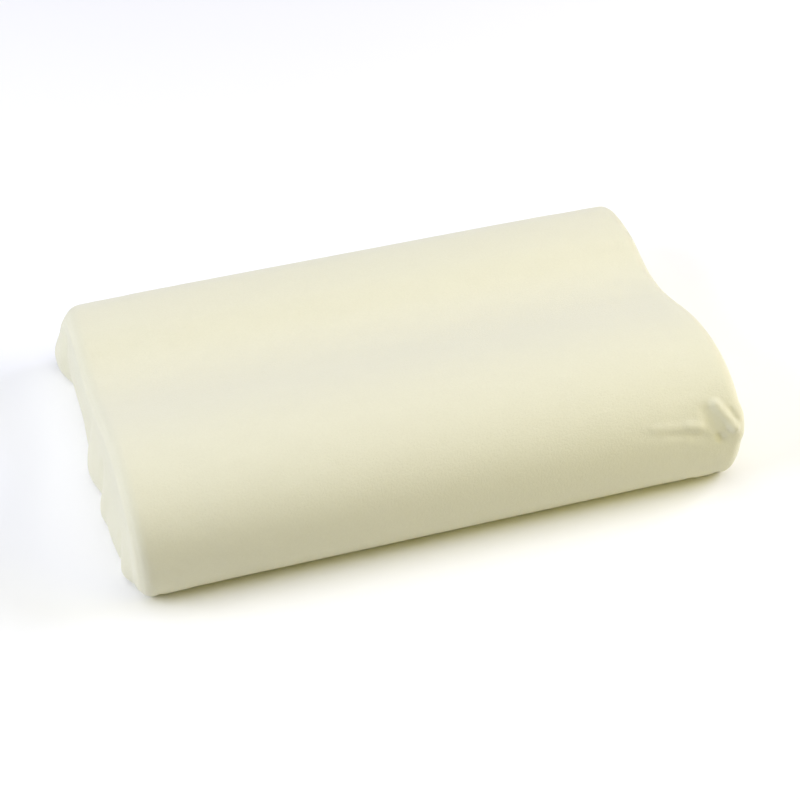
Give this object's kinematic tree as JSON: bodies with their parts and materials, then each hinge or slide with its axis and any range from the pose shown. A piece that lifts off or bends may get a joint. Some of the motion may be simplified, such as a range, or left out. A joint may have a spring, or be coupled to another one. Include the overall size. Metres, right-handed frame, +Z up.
{
  "type": "contour bed pillow",
  "caption": "Contour bed pillow with a high front lobe and a low rear lobe: moulded foam core in a knitted liner, inside a removable velour cover with a long zip in its rear side.",
  "frame": {"origin": "centre of the flat base, where the pillow lies on the bed", "axes": "+X along the pillow towards the end where the zip closes, +Y from the high front lobe to the low rear lobe, +Z up out of the bed"},
  "size_m": [0.5, 0.3189, 0.098],
  "materials": {
    "velour": "warm cream knitted velour with a short dense nap and a soft sheen",
    "liner_knit": "plain off-white jersey knit",
    "foam": "pale yellow open-cell moulded memory foam with a fine matt skin",
    "zip_tape": "cream woven polyester tape",
    "zip_coil": "cream nylon monofilament coil",
    "zip_metal": "satin nickel plate",
    "label_satin": "blank white woven satin",
    "sewing_thread": "cream spun polyester thread"
  },
  "bodies": {
    "pillow": {"foam_core": "foam", "liner_sleeve": "liner_knit", "liner_end_left": "liner_knit", "liner_end_right": "liner_knit", "cover_wrap_panel": "velour", "cover_end_panel_left": "velour", "cover_end_panel_right": "velour", "end_seam_overlock_left": "sewing_thread", "end_seam_overlock_right": "sewing_thread", "zip_tape_upper": "zip_tape", "zip_tape_lower": "zip_tape", "zip_coil_upper": "zip_coil", "zip_coil_lower": "zip_coil", "zip_top_stop_upper": "zip_metal", "zip_top_stop_lower": "zip_metal", "zip_bottom_stop": "zip_metal", "zip_topstitch_upper": "sewing_thread", "zip_topstitch_lower": "sewing_thread", "care_label_stitching": "sewing_thread"},
    "zip_slider": {"zip_slider_body": "zip_metal"},
    "zip_pull": {"zip_pull_tab": "zip_metal"},
    "label": {"care_label": "label_satin"}
  },
  "joints": [
    {"name": "zip_slide", "type": "slide", "parent": "pillow", "child": "zip_slider", "axis": [-1, 0, 0], "range_m": [0, 0.386]},
    {"name": "pull_tab_swing", "type": "hinge", "parent": "zip_slider", "child": "zip_pull", "pos_m": [0.1837, 0.1594, 0.036], "axis": [0, 0, -1], "range_deg": [0, 175]},
    {"name": "label_flip", "type": "hinge", "parent": "pillow", "child": "label", "pos_m": [0.2245, 0.1589, 0.035], "axis": [1, 0, 0], "range_deg": [0, 170]}
  ]
}
